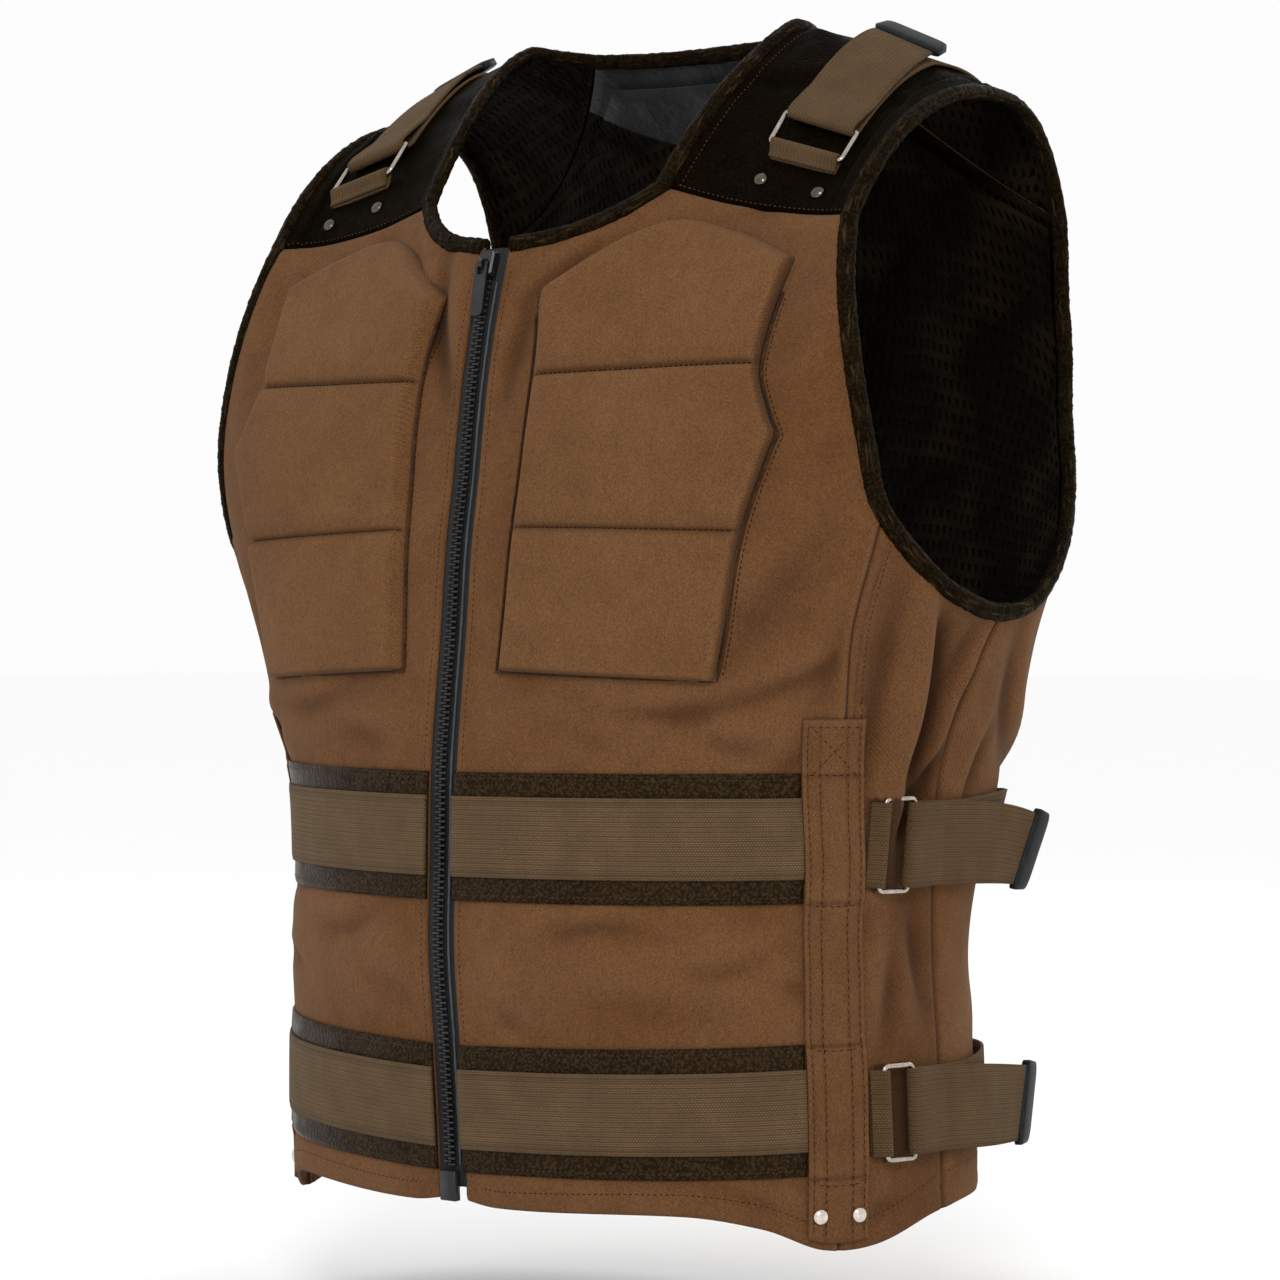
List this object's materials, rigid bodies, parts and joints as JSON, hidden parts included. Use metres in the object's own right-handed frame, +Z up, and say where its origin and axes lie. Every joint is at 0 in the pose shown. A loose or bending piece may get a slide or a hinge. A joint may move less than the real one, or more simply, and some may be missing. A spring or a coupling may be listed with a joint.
{
  "type": "motorcycle vest",
  "caption": "Brown canvas motorcycle vest with leather yokes, padded chest plates, waist bands and ring-strap adjusters, zipped shut and hollow.",
  "frame": {"origin": "midway between the shoulders, at the height where the inner shoulders carry the vest", "axes": "+Z up to the neck, -Y out of the chest, +X towards the wearer's left"},
  "size_m": [0.5096, 0.3259, 0.681],
  "materials": {
    "canvas": "brown brushed cotton twill, worn paler where it bulges",
    "lining": "dark brown perforated mesh with a charcoal satin stretch at the neck",
    "leather": "very dark brown pebbled leather, satin",
    "webbing": "khaki brown ribbed webbing, matt",
    "tape": "slate grey woven zip tape, matt",
    "plastic": "black moulded plastic, dull",
    "black_metal": "gloss black enamel",
    "nickel": "polished nickel plate, slightly dulled"
  },
  "bodies": {
    "vest": {"front_left": "canvas", "front_right": "canvas", "side_left": "canvas", "side_right": "canvas", "back": "canvas", "back_lining": "lining", "yoke_left": "leather", "yoke_right": "leather", "armhole_binding_left": "leather", "armhole_binding_right": "leather", "neck_binding": "leather", "chest_pad_left": "canvas", "chest_pad_right": "canvas", "upright_strap_left": "canvas", "upright_strap_right": "canvas", "waist_leather_upper_left": "leather", "waist_leather_upper_right": "leather", "waist_webbing_upper_left": "webbing", "waist_webbing_upper_right": "webbing", "waist_leather_lower_left": "leather", "waist_leather_lower_right": "leather", "waist_webbing_lower_left": "webbing", "waist_webbing_lower_right": "webbing", "zip_tape_left": "tape", "zip_tape_right": "tape", "zip_chain": "plastic", "zip_slider": "black_metal", "side_upper_tab_left": "webbing", "side_upper_tab_right": "webbing", "side_upper_ring_left": "nickel", "side_upper_ring_right": "nickel", "side_upper_strap_left": "webbing", "side_upper_strap_right": "webbing", "side_upper_tip_left": "plastic", "side_upper_tip_right": "plastic", "side_lower_tab_left": "webbing", "side_lower_tab_right": "webbing", "side_lower_ring_left": "nickel", "side_lower_ring_right": "nickel", "side_lower_strap_left": "webbing", "side_lower_strap_right": "webbing", "side_lower_tip_left": "plastic", "side_lower_tip_right": "plastic", "shoulder_tab_left": "webbing", "shoulder_tab_right": "webbing", "shoulder_ring_left": "nickel", "shoulder_ring_right": "nickel", "shoulder_strap_left": "webbing", "shoulder_strap_right": "webbing", "shoulder_tip_left": "plastic", "shoulder_tip_right": "plastic", "yoke_rivet_inner_left": "nickel", "yoke_rivet_inner_right": "nickel", "yoke_rivet_outer_left": "nickel", "yoke_rivet_outer_right": "nickel", "hem_rivet_front_left": "nickel", "hem_rivet_front_right": "nickel", "hem_rivet_rear_left": "nickel", "hem_rivet_rear_right": "nickel"},
    "zip_pull": {"zip_pull": "black_metal"}
  },
  "joints": [
    {"name": "zip_pull_hinge", "type": "hinge", "parent": "vest", "child": "zip_pull", "pos_m": [0, -0.13989, -0.14236], "axis": [-1, 0, 0], "range_deg": [0, 140]}
  ]
}
